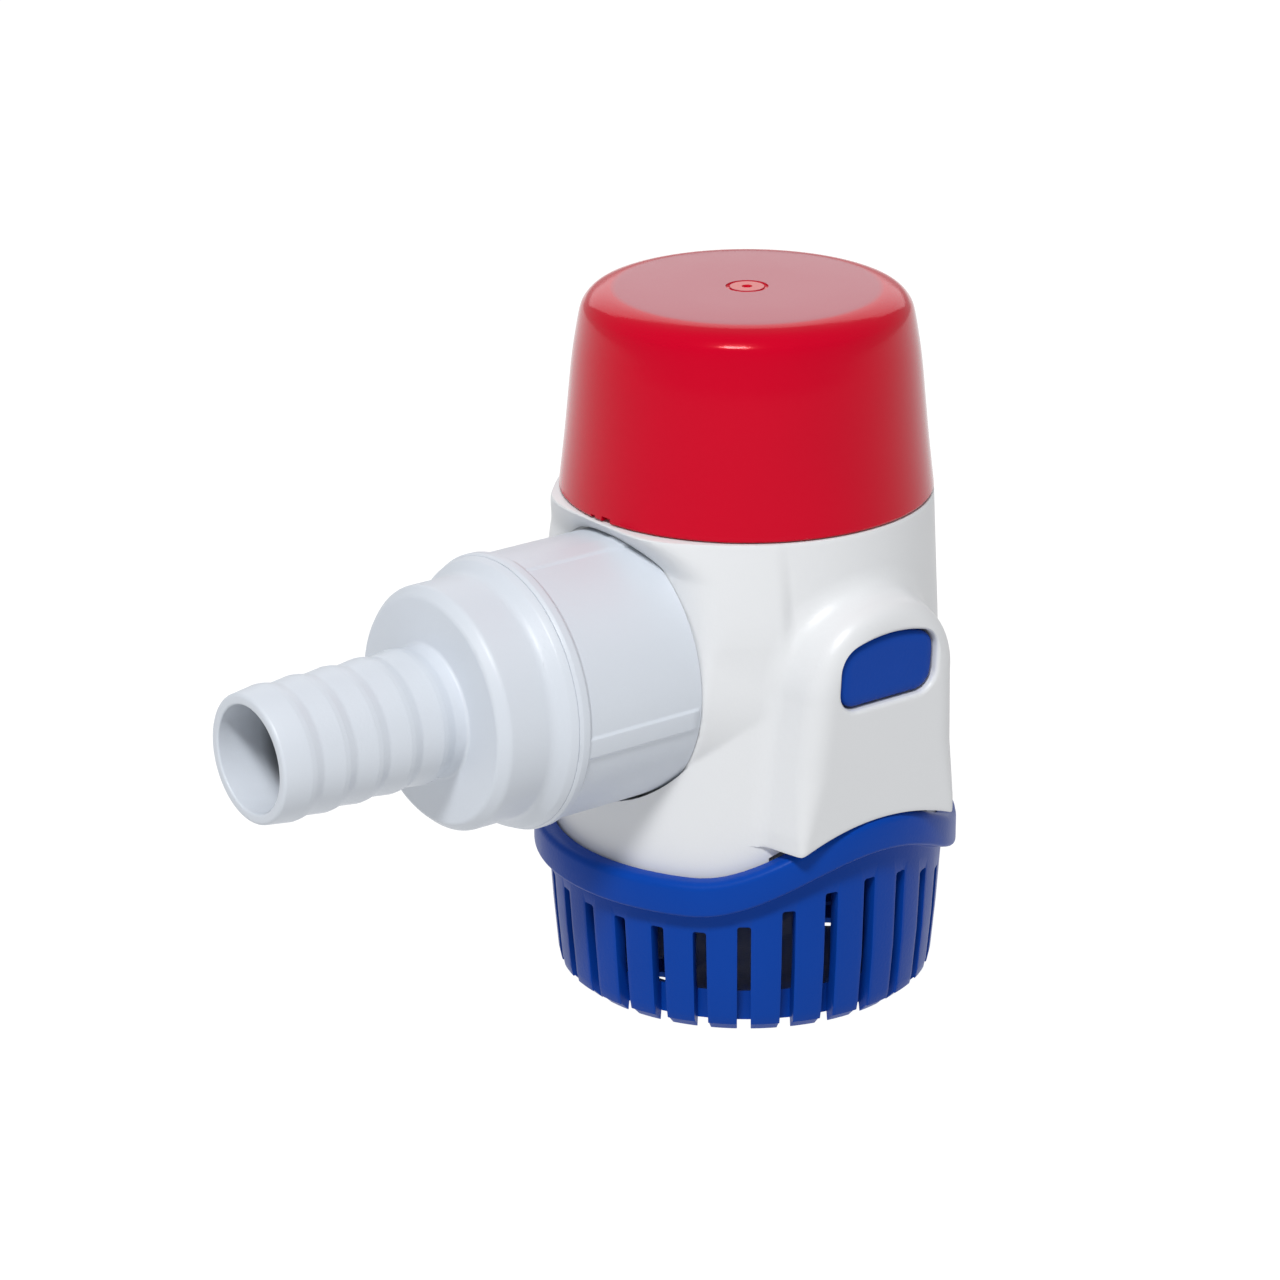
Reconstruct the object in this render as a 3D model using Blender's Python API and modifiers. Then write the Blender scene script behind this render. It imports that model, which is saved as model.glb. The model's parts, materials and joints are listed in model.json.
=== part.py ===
"""A submersible bilge pump: strainer base, snap-on pump, barbed outlet and the motor inside.

The pump's axis is Z and its base stands on z = 0. The outlet points along -X,
and the two lock buttons face -Y and +Y. Lengths are in metres.
"""

import math

import bmesh
import bpy
from mathutils import Matrix, Vector

MM = 0.001
GAP = 0.3 * MM
TINY = 0.001 * MM

# Driving dimensions
BODY_BOTTOM_Z = 21.5 * MM
BODY_TOP_Z = 83.0 * MM
BODY_BOTTOM_RADIUS = 31.4 * MM
BODY_TOP_RADIUS = 30.15 * MM
BODY_BORE_RADIUS = 28.3 * MM
SKIRT_BORE_RADIUS = 29.2 * MM
SHELF_BOTTOM_Z = 37.0 * MM
SHELF_TOP_Z = 40.0 * MM
DECK_BOTTOM_Z = 80.2 * MM
CAP_TOP_Z = 115.9 * MM
CAP_NOTCHES = ((4.5, 1.0 * MM), (-1.6, 0.5 * MM))

WAVE_HEIGHT = 8.8 * MM
WAVE_HALF_ANGLE = math.radians(54)
SLOT_COUNT = 28
SLOT_WIDTH = 2.2 * MM
SLOT_TOP_Z = 18.0 * MM
SLOT_WAVE_HEIGHT = 7.0 * MM
SLOT_FLOOR_RADIUS = 28.4 * MM
FLOOR_TOP_Z = 2.4 * MM
BASE_SCREW_X = 18.0 * MM
BASE_SCREW_RADIUS = 2.3 * MM

PAD_FACE_Y = 36.4 * MM
PAD_FACE_Z = 60 * MM
PAD_LEAN = math.atan(0.075)
PAD_HALF_WIDTH = 13.9 * MM
PAD_FOOT_HALF_WIDTH = 15.7 * MM
PAD_ARCH_Z = 58.5 * MM
PAD_FOOT_Z = 36.1 * MM
PAD_FOOT_RISE = 3.1 * MM
PAD_DEPTH = 10 * MM
PAD_BEVEL = 1.8 * MM
WINDOW_HALF_WIDTH = 9.7 * MM
WINDOW_BOTTOM_Z = 56.3 * MM
WINDOW_TOP_Z = 68.1 * MM
WINDOW_CROWN_RADIUS = 24.0 * MM
WINDOW_TOP_CORNER = 4.0 * MM
WINDOW_BOTTOM_CORNER = 3.6 * MM
BUTTON_RECESS = 0.7 * MM
BUTTON_MARGIN = 0.45 * MM
POCKET_INNER_Y = 26.0 * MM
POCKET_OUTER_Y = 32.8 * MM
POCKET_BOTTOM_Z = 15 * MM
POCKET_TOP_Z = 69.5 * MM
POCKET_HALF_WIDTH = 10.6 * MM
POCKET_CHAMFER = 5.0 * MM
TAB_STEM_HALF_WIDTH = 6.5 * MM
TAB_HEAD_HALF_WIDTH = 9.2 * MM
TAB_SHOULDER_Z = 52.5 * MM
TAB_CHAMFER = 4.0 * MM
TAB_INNER_Y = 28.7 * MM
TAB_OUTER_Y = 30.7 * MM
TAB_ROOT_Z = 30.4 * MM
TAB_TOP_Z = 69.0 * MM

OUTLET_Z = 58.7 * MM
OUTLET_FACE = 25.7 * MM
OUTLET_FLAT_LOW_Z = 44.5 * MM
OUTLET_FLAT_HIGH_Z = 81.0 * MM
FACE_RADIUS = 22.5 * MM
BOSS_ROOT = 13.5 * MM
BOSS_ROOT_RADIUS = 28.5 * MM
BOSS_SLOPE = 0.553
BOSS_STRETCH = 1.6
SKIRT_FLAT_X = 24.5 * MM
SKIRT_FLAT_Z = 33 * MM
SPIGOT_RADIUS = 18.6 * MM
PORT_RADIUS = 13.5 * MM
SPIGOT_END = 38.0 * MM
COLLAR_END = 49.6 * MM
NOZZLE_MOUTH = 95.8 * MM
HOSE_BORE_RADIUS = 8.54 * MM
BARB_PITCH = 6.0 * MM
BARB_COUNT = 5
RIB_ANGLES = (-9, 81, 171, 261)
FLAP_AXIS_OUT = 44.8 * MM
FLAP_AXIS_Z = 71.3 * MM

SHAFT_RADIUS = 1.6 * MM
SHAFT_BORE_RADIUS = 1.9 * MM
CANISTER_RADIUS = 21.0 * MM
CAN_RADIUS = 18.5 * MM
VOLUTE_RADIUS = 24.2 * MM
VOLUTE_SCREW_ANGLES = (0, 120, 240)
VOLUTE_SCREW_PCD_RADIUS = 26.7 * MM

# Colour, roughness, metallic
RED = ((0.53, 0.0, 0.01), 0.22, 0.0)
WHITE = ((0.72, 0.74, 0.77), 0.38, 0.0)
COOL_WHITE = ((0.68, 0.75, 0.81), 0.42, 0.0)
BLUE = ((0.009, 0.06, 0.39), 0.4, 0.0)
BLACK_RUBBER = ((0.02, 0.02, 0.02), 0.7, 0.0)
BLACK_PLASTIC = ((0.03, 0.03, 0.03), 0.5, 0.0)
STEEL = ((0.55, 0.56, 0.58), 0.35, 1.0)
BRASS = ((0.7, 0.48, 0.18), 0.35, 1.0)
BRONZE = ((0.45, 0.26, 0.12), 0.5, 1.0)
COPPER = ((0.72, 0.3, 0.14), 0.35, 1.0)
FERRITE = ((0.06, 0.06, 0.065), 0.6, 0.0)
GRAPHITE = ((0.04, 0.04, 0.045), 0.6, 0.3)


# Scene and object helpers

def clear_scene():
    for obj in list(bpy.data.objects):
        bpy.data.objects.remove(obj, do_unlink=True)


def new_collection(name):
    collection = bpy.data.collections.new(name)
    bpy.context.scene.collection.children.link(collection)
    return collection


def finish(name, mesh, look):
    """Puts a mesh in the parts collection as a named object with its own material."""
    obj = bpy.data.objects.new(name, mesh)
    PARTS.objects.link(obj)
    colour, roughness, metallic = look
    material = bpy.data.materials.new(name)
    material.use_nodes = True
    shader = material.node_tree.nodes["Principled BSDF"]
    shader.inputs["Base Color"].default_value = (*colour, 1.0)
    shader.inputs["Roughness"].default_value = roughness
    shader.inputs["Metallic"].default_value = metallic
    mesh.materials.clear()
    mesh.materials.append(material)
    return obj


def as_cutter(mesh, name="cutter"):
    obj = bpy.data.objects.new(name, mesh)
    CUTTERS.objects.link(obj)
    obj.hide_render = True
    obj.display_type = "WIRE"
    return obj


def boolean(obj, mesh, operation="DIFFERENCE", solver="EXACT"):
    modifier = obj.modifiers.new(operation.lower(), "BOOLEAN")
    modifier.operation = operation
    modifier.solver = solver
    modifier.object = as_cutter(mesh, f"{obj.name}_{operation.lower()}")


def evaluated_mesh(obj):
    """The object's mesh with its modifiers applied and its own transform kept out of it."""
    bpy.context.view_layer.update()
    graph = bpy.context.evaluated_depsgraph_get()
    mesh = bpy.data.meshes.new_from_object(obj.evaluated_get(graph))
    bpy.data.objects.remove(obj, do_unlink=True)
    return mesh


def smooth(mesh, degrees=35):
    mesh.shade_smooth()
    mesh.set_sharp_from_angle(angle=math.radians(degrees))


# Shape helpers: each returns a mesh in world coordinates

OUT = Matrix.Translation((0, 0, OUTLET_Z)) @ Matrix.Rotation(math.radians(-90), 4, "Y")


def turned(profile, steps=32, place=None, closed=True):
    """A profile of (radius, height) turned about Z. It runs down its outer side, top to bottom."""
    mesh = bpy.data.meshes.new("profile")
    count = len(profile)
    edges = [(i, i + 1) for i in range(count - 1)]
    if closed:
        edges.append((count - 1, 0))
    mesh.from_pydata([(radius, 0, height) for radius, height in profile], edges, [])
    obj = bpy.data.objects.new("profile", mesh)
    bpy.context.scene.collection.objects.link(obj)
    screw = obj.modifiers.new("screw", "SCREW")
    screw.steps = steps
    screw.render_steps = steps
    screw.use_merge_vertices = True
    screw.merge_threshold = 0.00001
    result = evaluated_mesh(obj)
    if place:
        result.transform(place)
    smooth(result)
    return result


def rod(radius, low, high, steps=24, place=None):
    """A solid cylinder about Z between two heights."""
    return turned([(0, high), (radius, high), (radius, low), (0, low)], steps, place, closed=False)


def ring(outer, inner, low, high, steps=32, place=None):
    profile = [(outer, high), (outer, low), (inner, low), (inner, high)]
    return turned(profile, steps, place)


def block(low, high):
    """A box between two corners."""
    work = bmesh.new()
    bmesh.ops.create_cube(work, size=1)
    low, high = Vector(low), Vector(high)
    size = high - low
    bmesh.ops.scale(work, vec=size, verts=work.verts)
    bmesh.ops.translate(work, vec=(low + high) / 2, verts=work.verts)
    mesh = bpy.data.meshes.new("block")
    work.to_mesh(mesh)
    work.free()
    return mesh


def joined(meshes):
    """One mesh that holds several separate shapes."""
    work = bmesh.new()
    for mesh in meshes:
        work.from_mesh(mesh)
    result = bpy.data.meshes.new("joined")
    work.to_mesh(result)
    work.free()
    return result


def plate(outline, thickness, place=None, bevel=0.0):
    """A flat closed outline in XY, extruded evenly to both sides of z = 0."""
    curve = bpy.data.curves.new("outline", "CURVE")
    curve.dimensions = "2D"
    curve.fill_mode = "BOTH"
    curve.extrude = thickness / 2
    spline = curve.splines.new("POLY")
    spline.points.add(len(outline) - 1)
    for point, (x, y) in zip(spline.points, outline):
        point.co = (x, y, 0, 1)
    spline.use_cyclic_u = True
    obj = bpy.data.objects.new("outline", curve)
    bpy.context.scene.collection.objects.link(obj)
    mesh = evaluated_mesh(obj)
    work = bmesh.new()
    work.from_mesh(mesh)
    bmesh.ops.remove_doubles(work, verts=work.verts, dist=TINY)
    bmesh.ops.dissolve_limit(work, angle_limit=0.01, verts=work.verts, edges=work.edges)
    if bevel:
        top = [edge for edge in work.edges if all(v.co.z > thickness / 2 - TINY for v in edge.verts)]
        bmesh.ops.bevel(work, geom=top, offset=bevel, segments=2, profile=0.5, affect="EDGES")
    bmesh.ops.recalc_face_normals(work, faces=work.faces)
    work.to_mesh(mesh)
    work.free()
    if place:
        mesh.transform(place)
    return mesh


def arc(centre, radius, start, end, steps):
    """Points on a circle from one angle in degrees to another, both included."""
    angles = [math.radians(start + (end - start) * i / steps) for i in range(steps + 1)]
    return [(centre[0] + radius * math.cos(a), centre[1] + radius * math.sin(a)) for a in angles]


def coil(radius, wire, pitch, turns, place):
    """A helical spring about Z, starting at z = 0."""
    curve = bpy.data.curves.new("coil", "CURVE")
    curve.dimensions = "3D"
    curve.bevel_depth = wire
    curve.bevel_resolution = 0
    curve.use_fill_caps = True
    spline = curve.splines.new("POLY")
    count = turns * 8
    spline.points.add(count)
    for i, point in enumerate(spline.points):
        angle = math.tau * i / 8
        point.co = (radius * math.cos(angle), radius * math.sin(angle), pitch * i / 8, 1)
    obj = bpy.data.objects.new("coil", curve)
    bpy.context.scene.collection.objects.link(obj)
    mesh = evaluated_mesh(obj)
    work = bmesh.new()
    work.from_mesh(mesh)
    bmesh.ops.remove_doubles(work, verts=work.verts, dist=TINY)
    work.to_mesh(mesh)
    work.free()
    mesh.transform(place)
    return mesh


def wave(x, y):
    """How far the strainer's rim rises here: 1 beside each lock button and 0 away from them."""
    from_button = math.atan2(abs(x), abs(y))
    if from_button >= WAVE_HALF_ANGLE:
        return 0.0
    return math.cos(math.pi / 2 * from_button / WAVE_HALF_ANGLE) ** 2


def raise_by_wave(mesh, start, full, height):
    """Lifts the points above a height by the rim's wave, fading in between start and full."""
    for vertex in mesh.vertices:
        amount = min(1.0, max(0.0, (vertex.co.z - start) / (full - start)))
        vertex.co.z += height * amount * wave(vertex.co.x, vertex.co.y)


# Strainer base and its two lock tabs

def strainer_base():
    profile = [
        (34.0 * MM, 27.3 * MM),
        (34.8 * MM, 26.4 * MM),
        (34.8 * MM, 22.4 * MM),
        (34.1 * MM, 21.6 * MM),
        (32.4 * MM, 21.2 * MM),
        (32.3 * MM, 18.0 * MM),
        (31.8 * MM, 12.0 * MM),
        (31.0 * MM, 3.4 * MM),
        (30.5 * MM, 0.8 * MM),
        (29.7 * MM, 0.0),
        (0.0, 0.0),
    ]
    inside = [
        (0.0, FLOOR_TOP_Z),
        (28.6 * MM, FLOOR_TOP_Z),
        (29.5 * MM, 12.0 * MM),
        (29.9 * MM, 21.2 * MM),
        (31.8 * MM, 21.2 * MM),
        (31.8 * MM, 27.0 * MM),
    ]
    mesh = turned(profile + inside, steps=56)
    raise_by_wave(mesh, 12.0 * MM, 21.0 * MM, WAVE_HEIGHT)
    obj = finish("strainer_base", mesh, BLUE)
    slots = []
    for i in range(SLOT_COUNT):
        angle = math.tau * i / SLOT_COUNT
        x, y = math.cos(angle), math.sin(angle)
        top = SLOT_TOP_Z + SLOT_WAVE_HEIGHT * wave(x, y)
        slot = block(
            (SLOT_FLOOR_RADIUS, -SLOT_WIDTH / 2, -1 * MM), (36 * MM, SLOT_WIDTH / 2, top)
        )
        slot.transform(Matrix.Rotation(angle, 4, "Z"))
        slots.append(slot)
    boolean(obj, joined(slots))
    screw_hole = [
        (4.4 * MM, FLOOR_TOP_Z + 1 * MM),
        (4.4 * MM, FLOOR_TOP_Z - 0.1 * MM),
        (BASE_SCREW_RADIUS, 0.9 * MM),
        (BASE_SCREW_RADIUS, -1 * MM),
    ]
    profile = [(0, screw_hole[0][1])] + screw_hole + [(0, screw_hole[-1][1])]
    holes = [
        turned(profile, 16, Matrix.Translation((side * BASE_SCREW_X, 0, 0)), closed=False)
        for side in (-1, 1)
    ]
    boolean(obj, joined(holes))


def window_outline(inset):
    """The arched button opening in XZ, drawn in by a margin."""
    crown_z = WINDOW_TOP_Z - WINDOW_CROWN_RADIUS
    top_x = WINDOW_HALF_WIDTH - WINDOW_TOP_CORNER
    reach = WINDOW_CROWN_RADIUS - WINDOW_TOP_CORNER
    top_z = crown_z + math.sqrt(reach**2 - top_x**2)
    half_sweep = math.degrees(math.asin(top_x / reach))
    low_x = WINDOW_HALF_WIDTH - WINDOW_BOTTOM_CORNER
    low_z = WINDOW_BOTTOM_Z + WINDOW_BOTTOM_CORNER
    top_corner = WINDOW_TOP_CORNER - inset
    low_corner = WINDOW_BOTTOM_CORNER - inset
    points = arc((top_x, top_z), top_corner, 0, 90 - half_sweep, 4)[:-1]
    points += arc((0, crown_z), WINDOW_CROWN_RADIUS - inset, 90 - half_sweep, 90 + half_sweep, 8)
    points += arc((-top_x, top_z), top_corner, 90 + half_sweep, 180, 4)[1:]
    points += arc((-low_x, low_z), low_corner, 180, 270, 4)
    points += arc((low_x, low_z), low_corner, 270, 360, 4)
    return points


def facing(side, distance):
    """Places an XY outline upright with its top face at this distance along -Y or +Y."""
    turn = Matrix.Rotation(math.radians(90), 4, "X")
    if side > 0:
        turn = Matrix.Rotation(math.pi, 4, "Z") @ turn
    return Matrix.Translation((0, side * distance, 0)) @ turn


def leaning(side):
    """Tips an upright face so that it stands further out towards its top, as the pads do."""
    there = Matrix.Translation((0, side * PAD_FACE_Y, PAD_FACE_Z))
    return there @ Matrix.Rotation(-side * PAD_LEAN, 4, "X") @ there.inverted()


def lock_tab(name, side):
    """A springy stem on the strainer that carries the push button. Its origin is at its root."""
    stem_depth = TAB_OUTER_Y - TAB_INNER_Y
    neck_z = TAB_SHOULDER_Z - 3 * MM
    right_side = [
        (TAB_STEM_HALF_WIDTH, TAB_ROOT_Z),
        (TAB_STEM_HALF_WIDTH, neck_z),
        (TAB_HEAD_HALF_WIDTH, TAB_SHOULDER_Z),
        (TAB_HEAD_HALF_WIDTH, TAB_TOP_Z - TAB_CHAMFER),
        (TAB_HEAD_HALF_WIDTH - TAB_CHAMFER, TAB_TOP_Z),
    ]
    outline = right_side + [(-x, z) for x, z in reversed(right_side)]
    middle = (TAB_INNER_Y + TAB_OUTER_Y) / 2
    mesh = plate(outline, stem_depth, facing(side, middle))
    head_face = PAD_FACE_Y - BUTTON_RECESS
    head_depth = head_face - TAB_INNER_Y - 0.8 * MM
    head_place = leaning(side) @ facing(side, head_face - head_depth / 2)
    head = plate(window_outline(BUTTON_MARGIN), head_depth, head_place, 0.5 * MM)
    root = Vector((0, side * middle, TAB_ROOT_Z))
    to_root = Matrix.Translation(-root)
    mesh.transform(to_root)
    obj = finish(name, mesh, BLUE)
    obj.location = root
    boolean(obj, head, "UNION")


# Pump body

def pad_outline():
    arch = arc((0, PAD_ARCH_Z), PAD_HALF_WIDTH, 0, 180, 16)
    foot = []
    steps = 8
    for i in range(steps + 1):
        x = PAD_FOOT_HALF_WIDTH * (2 * i / steps - 1)
        foot.append((x, PAD_FOOT_Z - PAD_FOOT_RISE * (x / PAD_FOOT_HALF_WIDTH) ** 2))
    return arch + foot


def pad(side):
    """One raised pad: an upright arched plate that leans out slightly towards its top."""
    place = leaning(side) @ facing(side, PAD_FACE_Y - PAD_DEPTH / 2)
    return plate(pad_outline(), PAD_DEPTH, place, PAD_BEVEL)


def pocket(side):
    """The hollow behind a pad that the lock tab slides up into."""
    right_side = [
        (POCKET_HALF_WIDTH, POCKET_BOTTOM_Z),
        (POCKET_HALF_WIDTH, POCKET_TOP_Z - POCKET_CHAMFER),
        (POCKET_HALF_WIDTH - POCKET_CHAMFER, POCKET_TOP_Z),
    ]
    outline = right_side + [(-x, z) for x, z in reversed(right_side)]
    middle = (POCKET_INNER_Y + POCKET_OUTER_Y) / 2
    return plate(outline, POCKET_OUTER_Y - POCKET_INNER_Y, facing(side, middle))


def boss():
    """The swelling round the outlet, drawn out upwards until it fades into the wall."""
    end = OUTLET_FACE + 1.5 * MM
    profile = [
        (0, end),
        (BOSS_ROOT_RADIUS - (end - BOSS_ROOT) * BOSS_SLOPE, end),
        (BOSS_ROOT_RADIUS, BOSS_ROOT),
        (0, BOSS_ROOT),
    ]
    mesh = turned(profile, 36, OUT, closed=False)
    for vertex in mesh.vertices:
        rise = vertex.co.z - OUTLET_Z
        if rise > 0:
            vertex.co.z = OUTLET_Z + rise * BOSS_STRETCH
    obj = finish("outlet_boss", mesh, WHITE)
    boolean(obj, block((-40 * MM, -40 * MM, 32 * MM), (0, 40 * MM, 81 * MM)), "INTERSECT")
    return evaluated_mesh(obj)


def skirt_bore():
    """The bore of the lower skirt, flat on the outlet side below the collar."""
    mesh = rod(SKIRT_BORE_RADIUS, BODY_BOTTOM_Z - 5 * MM, SHELF_BOTTOM_Z, 40)
    obj = finish("skirt_bore", mesh, WHITE)
    filled = block((-40 * MM, -40 * MM, SKIRT_FLAT_Z), (-SKIRT_FLAT_X, 40 * MM, 50 * MM))
    boolean(obj, filled)
    return evaluated_mesh(obj)


def body_cavity():
    """The wet annulus round the canister, flat beside the outlet and behind each lock tab."""
    mesh = rod(BODY_BORE_RADIUS, SHELF_TOP_Z, DECK_BOTTOM_Z, 36)
    obj = finish("body_cavity", mesh, WHITE)
    flat_x = OUTLET_FACE - 2.3 * MM
    flat_y = POCKET_INNER_Y - 1.6 * MM
    limits = block((-flat_x, -flat_y, 30 * MM), (40 * MM, flat_y, 90 * MM))
    boolean(obj, limits, "INTERSECT")
    return evaluated_mesh(obj)


def pump_body():
    outside = [
        (0, BODY_TOP_Z),
        (BODY_TOP_RADIUS - 0.3 * MM, BODY_TOP_Z),
        (BODY_TOP_RADIUS, BODY_TOP_Z - 0.4 * MM),
        (30.5 * MM, 75 * MM),
        (31.05 * MM, 63 * MM),
        (31.3 * MM, 56 * MM),
        (BODY_BOTTOM_RADIUS, 32 * MM),
        (BODY_BOTTOM_RADIUS, BODY_BOTTOM_Z),
        (28 * MM, BODY_BOTTOM_Z),
        (28 * MM, 30 * MM),
        (0, 30 * MM),
    ]
    mesh = turned(outside, 48, closed=False)
    for vertex in mesh.vertices:
        if vertex.co.z < BODY_BOTTOM_Z + TINY:
            vertex.co.z += WAVE_HEIGHT * wave(vertex.co.x, vertex.co.y)
    obj = finish("pump_body", mesh, WHITE)

    # The boss leaves the wall almost tangentially, so every join here keeps to closed solids.
    def add(shape):
        boolean(obj, shape, "UNION", "MANIFOLD")

    def cut(shape):
        boolean(obj, shape, "DIFFERENCE", "MANIFOLD")

    add(boss())
    for side in (-1, 1):
        add(pad(side))
    cut(block((-45 * MM, -30 * MM, OUTLET_FLAT_LOW_Z), (-OUTLET_FACE, 30 * MM, OUTLET_FLAT_HIGH_Z)))
    cut(rod(FACE_RADIUS, OUTLET_FACE, 40 * MM, 40, OUT))
    spigot = [
        (0, SPIGOT_END),
        (SPIGOT_RADIUS - 0.6 * MM, SPIGOT_END),
        (SPIGOT_RADIUS, SPIGOT_END - 0.6 * MM),
        (SPIGOT_RADIUS, OUTLET_FACE - 1 * MM),
        (0, OUTLET_FACE - 1 * MM),
    ]
    add(turned(spigot, 32, OUT, closed=False))
    cut(skirt_bore())
    cut(body_cavity())
    cut(rod(PORT_RADIUS, 18 * MM, 41 * MM, 28, OUT))
    cut(rod(VOLUTE_RADIUS + GAP, SHELF_BOTTOM_Z - 1 * MM, SHELF_TOP_Z + 1 * MM, 36))
    cut(rod(CANISTER_RADIUS + GAP, DECK_BOTTOM_Z - 1 * MM, BODY_TOP_Z + 1 * MM, 32))
    cut(ring(24.2 * MM, 22.6 * MM, 81.5 * MM, BODY_TOP_Z + 1 * MM, 32))
    for side in (-1, 1):
        cut(pocket(side))
        window_depth = 8 * MM
        cut(plate(window_outline(0), window_depth, facing(side, POCKET_OUTER_Y + window_depth / 2 - GAP)))
    for angle in VOLUTE_SCREW_ANGLES:
        place = Matrix.Rotation(math.radians(angle), 4, "Z")
        place = place @ Matrix.Translation((VOLUTE_SCREW_PCD_RADIUS, 0, 0))
        cut(rod(1.6 * MM, SHELF_BOTTOM_Z - 1 * MM, SHELF_BOTTOM_Z + 2.2 * MM, 10, place))


def volute_cup():
    """The cup round the impeller: an inlet eye below and three screw ears above."""
    profile = [
        (VOLUTE_RADIUS, 39.7 * MM),
        (VOLUTE_RADIUS, 23.8 * MM),
        (VOLUTE_RADIUS - 1.3 * MM, 22.5 * MM),
        (8.0 * MM, 22.5 * MM),
        (8.0 * MM, 24.4 * MM),
        (22.6 * MM, 24.4 * MM),
        (22.6 * MM, 39.7 * MM),
    ]
    obj = finish("volute_cup", turned(profile, 32), BLACK_PLASTIC)
    ear_low, ear_high = 33.5 * MM, SHELF_BOTTOM_Z - GAP
    for angle in VOLUTE_SCREW_ANGLES:
        turn = Matrix.Rotation(math.radians(angle), 4, "Z")
        outline = arc((VOLUTE_SCREW_PCD_RADIUS, 0), 2.2 * MM, -90, 90, 8)
        outline += [(23.4 * MM, 2.2 * MM), (23.4 * MM, -2.2 * MM)]
        middle = Matrix.Translation((0, 0, (ear_low + ear_high) / 2))
        boolean(obj, plate(outline, ear_high - ear_low, turn @ middle), "UNION")
        hole = turn @ Matrix.Translation((VOLUTE_SCREW_PCD_RADIUS, 0, 0))
        boolean(obj, rod(1.6 * MM, ear_low - 1 * MM, ear_high + 1 * MM, 10, hole))


def volute_screws():
    profile = [
        (0, 38.8 * MM),
        (0.9 * MM, 38.8 * MM),
        (1.3 * MM, 38.0 * MM),
        (1.3 * MM, 33.2 * MM),
        (2.1 * MM, 33.2 * MM),
        (2.1 * MM, 32.0 * MM),
        (1.6 * MM, 31.6 * MM),
        (0, 31.6 * MM),
    ]
    for number, angle in enumerate(VOLUTE_SCREW_ANGLES, 1):
        place = Matrix.Rotation(math.radians(angle), 4, "Z")
        place = place @ Matrix.Translation((VOLUTE_SCREW_PCD_RADIUS, 0, 0))
        finish(f"volute_screw_{number}", turned(profile, 10, place, closed=False), STEEL)


# Cap, canister and seals

def motor_cap():
    profile = [
        (0, CAP_TOP_Z),
        (22.6 * MM, CAP_TOP_Z),
        (24.3 * MM, 115.4 * MM),
        (25.6 * MM, 114.3 * MM),
        (26.5 * MM, 112.6 * MM),
        (27.2 * MM, 109.0 * MM),
        (28.0 * MM, 103.5 * MM),
        (29.1 * MM, 92.4 * MM),
        (30.0 * MM, 84.6 * MM),
        (BODY_TOP_RADIUS, BODY_TOP_Z + GAP),
        (28.15 * MM, BODY_TOP_Z + GAP),
        (28.15 * MM, 85.3 * MM),
        (26.6 * MM, 85.3 * MM),
        (26.6 * MM, 92.0 * MM),
        (25.6 * MM, 103.5 * MM),
        (24.9 * MM, 109.0 * MM),
        (23.4 * MM, 112.6 * MM),
        (22.0 * MM, 113.6 * MM),
        (0, 113.6 * MM),
    ]
    obj = finish("motor_cap", turned(profile, 40, closed=False), RED)
    gate = ring(3.2 * MM, 2.4 * MM, CAP_TOP_Z - 0.2 * MM, CAP_TOP_Z + 1 * MM, 20)
    boolean(obj, gate)
    for degrees, half in CAP_NOTCHES:
        notch = block((-33 * MM, -half, 82 * MM), (-29 * MM, half, 83.4 * MM + 0.7 * half))
        notch.transform(Matrix.Rotation(math.radians(degrees), 4, "Z"))
        boolean(obj, notch)
    boolean(obj, rod(4.3 * MM, 22 * MM, 32 * MM, 16, gland_place()))


def gland_place():
    """The wire gland points along +X through the side of the cap."""
    return Matrix.Translation((0, 0, 92 * MM)) @ Matrix.Rotation(math.radians(90), 4, "Y")


def wire_gland():
    profile = [
        (3.4 * MM, 32.2 * MM),
        (5.2 * MM, 31.5 * MM),
        (5.2 * MM, 30.2 * MM),
        (4.0 * MM, 30.0 * MM),
        (4.0 * MM, 25.8 * MM),
        (2.0 * MM, 25.8 * MM),
        (2.0 * MM, 32.2 * MM),
    ]
    finish("wire_gland", turned(profile, 20, gland_place()), BLACK_RUBBER)


def motor_canister():
    profile = [
        (27.8 * MM, 85.0 * MM),
        (27.8 * MM, BODY_TOP_Z + GAP),
        (CANISTER_RADIUS, BODY_TOP_Z + GAP),
        (CANISTER_RADIUS, 50 * MM),
        (18.5 * MM, 43.5 * MM),
        (16.0 * MM, 41.0 * MM),
        (5.8 * MM, 41.0 * MM),
        (5.8 * MM, 44.9 * MM),
        (15.0 * MM, 44.9 * MM),
        (19.0 * MM, 50.5 * MM),
        (19.0 * MM, 85.0 * MM),
    ]
    finish("motor_canister", turned(profile, 32), WHITE)


def seals():
    groove_middle = 23.4 * MM
    o_ring = arc((groove_middle, 82.35 * MM), 0.6 * MM, 90, -210, 5)
    finish("cap_o_ring", turned(o_ring, 28), BLACK_RUBBER)
    lip_seal = [
        (5.5 * MM, 44.5 * MM),
        (5.5 * MM, 41.3 * MM),
        (2.6 * MM, 41.3 * MM),
        (SHAFT_BORE_RADIUS, 42.4 * MM),
        (SHAFT_BORE_RADIUS, 43.2 * MM),
        (3.0 * MM, 44.5 * MM),
    ]
    finish("shaft_seal", turned(lip_seal, 20), BLACK_RUBBER)


# Motor

def motor_can():
    profile = [
        (CAN_RADIUS, 101 * MM),
        (CAN_RADIUS, 52.5 * MM),
        (16.5 * MM, 50.2 * MM),
        (6.0 * MM, 50.2 * MM),
        (5.0 * MM, 46.3 * MM),
        (3.4 * MM, 46.3 * MM),
        (3.4 * MM, 51.4 * MM),
        (17.3 * MM, 51.4 * MM),
        (17.3 * MM, 101 * MM),
    ]
    finish("motor_can", turned(profile, 28), STEEL)


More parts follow.
